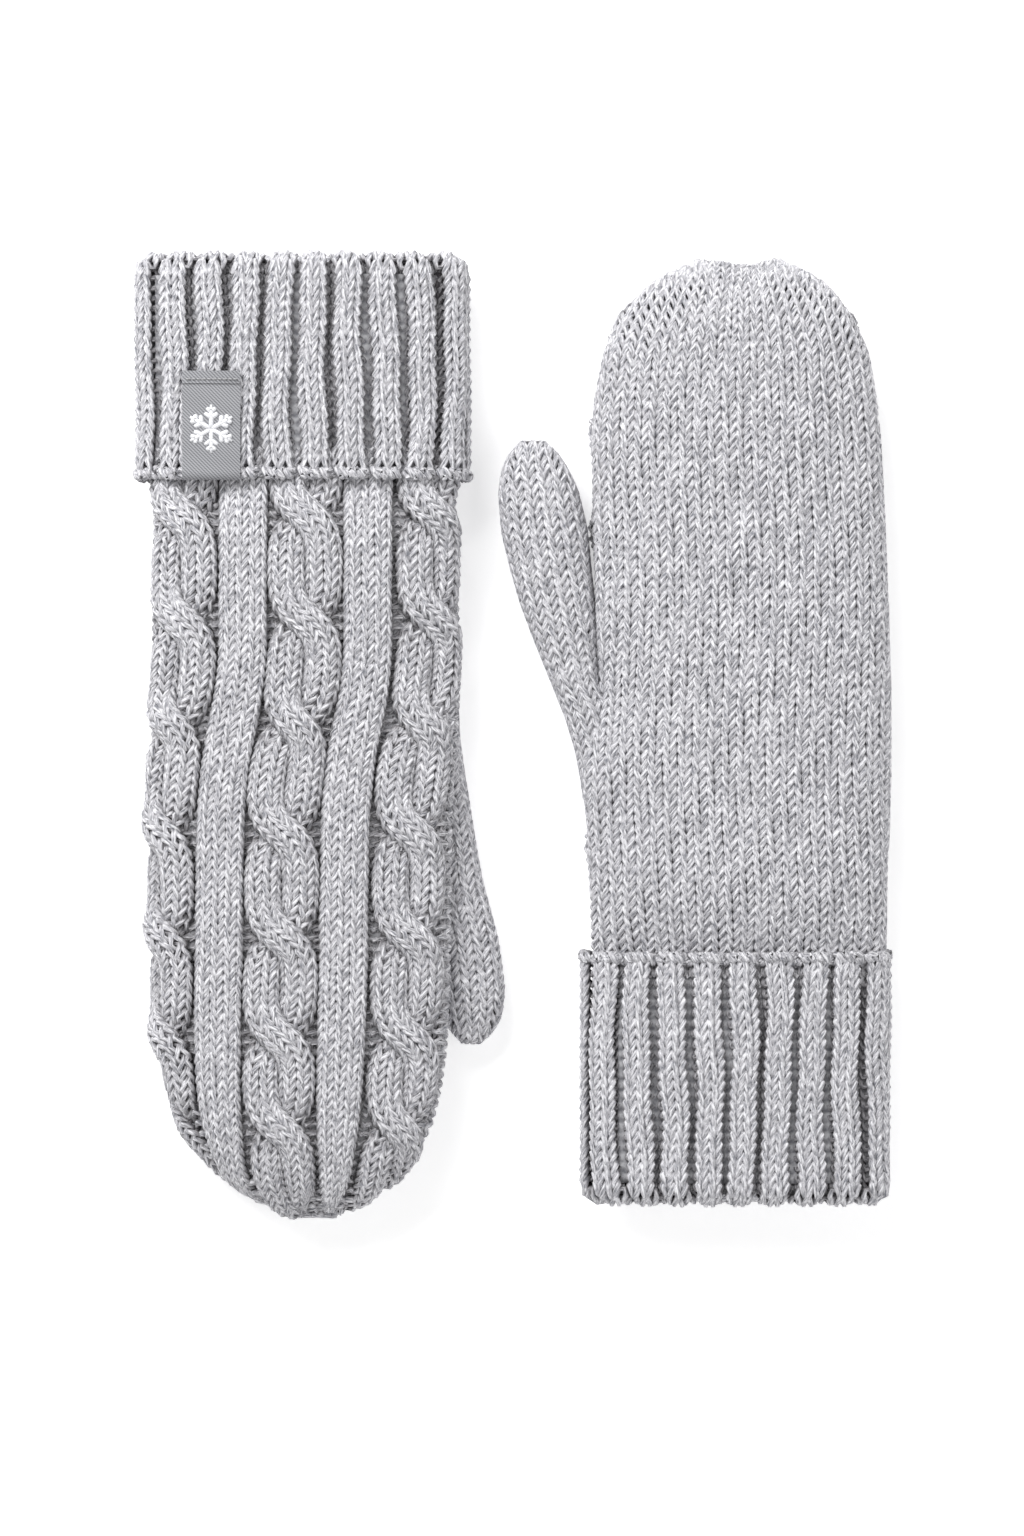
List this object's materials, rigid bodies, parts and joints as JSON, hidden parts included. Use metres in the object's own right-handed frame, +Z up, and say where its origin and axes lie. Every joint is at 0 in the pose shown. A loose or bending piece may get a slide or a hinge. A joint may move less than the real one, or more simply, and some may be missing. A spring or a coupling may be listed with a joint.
{
  "type": "knitted mittens",
  "caption": "Pair of chunky cable-knit mittens laid flat, one back up and one palm up, with turned-back ribbed cuffs and soft lining.",
  "frame": {"origin": "centre of the pair on the table, at the underside of the mittens", "axes": "+Z up from the table, +X from the right-hand mitten to the left-hand one, +Y along the left-hand mitten's fingers"},
  "size_m": [0.22, 0.277, 0.0283],
  "materials": {
    "knit": "chunky light grey heather yarn, slightly fuzzy",
    "ribbing": "two by two rib in the same heather yarn",
    "seam_yarn": "the same yarn, sewn or drawn tight",
    "lining": "soft brushed lining",
    "label": "grey woven twill tape",
    "label_motif": "white woven motif"
  },
  "bodies": {
    "right_hand": {"right_back_hand": "knit", "right_palm_hand": "knit", "right_little_seam_hand": "seam_yarn", "right_index_seam_hand": "seam_yarn", "right_inner_cuff": "ribbing", "right_lining_hand": "lining"},
    "right_fingers": {"right_back_fingers": "knit", "right_palm_fingers": "knit", "right_little_seam_fingers": "seam_yarn", "right_index_seam_fingers": "seam_yarn", "right_lining_fingers": "lining", "right_tip_gather": "seam_yarn"},
    "right_thumb": {"right_thumb_gusset": "knit", "right_thumb_seam": "seam_yarn", "right_thumb": "knit", "right_thumb_lining": "lining", "right_thumb_gather": "seam_yarn"},
    "right_cuff": {"right_turned_cuff": "ribbing", "right_label": "label", "right_label_star": "label_motif", "right_label_stitch": "label"},
    "left_hand": {"left_palm_hand": "knit", "left_back_hand": "knit", "left_little_seam_hand": "seam_yarn", "left_index_seam_hand": "seam_yarn", "left_inner_cuff": "ribbing", "left_lining_hand": "lining"},
    "left_fingers": {"left_palm_fingers": "knit", "left_back_fingers": "knit", "left_little_seam_fingers": "seam_yarn", "left_index_seam_fingers": "seam_yarn", "left_lining_fingers": "lining", "left_tip_gather": "seam_yarn"},
    "left_thumb": {"left_thumb_gusset": "knit", "left_thumb_seam": "seam_yarn", "left_thumb": "knit", "left_thumb_lining": "lining", "left_thumb_gather": "seam_yarn"},
    "left_cuff": {"left_turned_cuff": "ribbing"}
  },
  "joints": [
    {"name": "pair_apart", "type": "slide", "parent": "right_hand", "child": "left_hand", "axis": [1, 0, 0], "range_m": [0, 0.15]},
    {"name": "right_knuckles", "type": "hinge", "parent": "right_hand", "child": "right_fingers", "pos_m": [-0.061, -0.0405, 0.0165], "axis": [-1, 0, 0], "range_deg": [0, 60]},
    {"name": "right_thumb_swing", "type": "hinge", "parent": "right_hand", "child": "right_thumb", "pos_m": [-0.029, 0.0015, 0.008], "axis": [0, 0, 1], "range_deg": [0, 15]},
    {"name": "right_cuff_turn", "type": "slide", "parent": "right_hand", "child": "right_cuff", "axis": [0, 1, 0], "range_m": [0, 0.054]},
    {"name": "left_knuckles", "type": "hinge", "parent": "left_hand", "child": "left_fingers", "pos_m": [0.0646, 0.0402, 0.0165], "axis": [1, 0, 0], "range_deg": [0, 60]},
    {"name": "left_thumb_swing", "type": "hinge", "parent": "left_hand", "child": "left_thumb", "pos_m": [0.029, 0.0055, 0.0105], "axis": [0, 0, 1], "range_deg": [0, 7]},
    {"name": "left_cuff_turn", "type": "slide", "parent": "left_hand", "child": "left_cuff", "axis": [0, -1, 0], "range_m": [0, 0.061]}
  ]
}
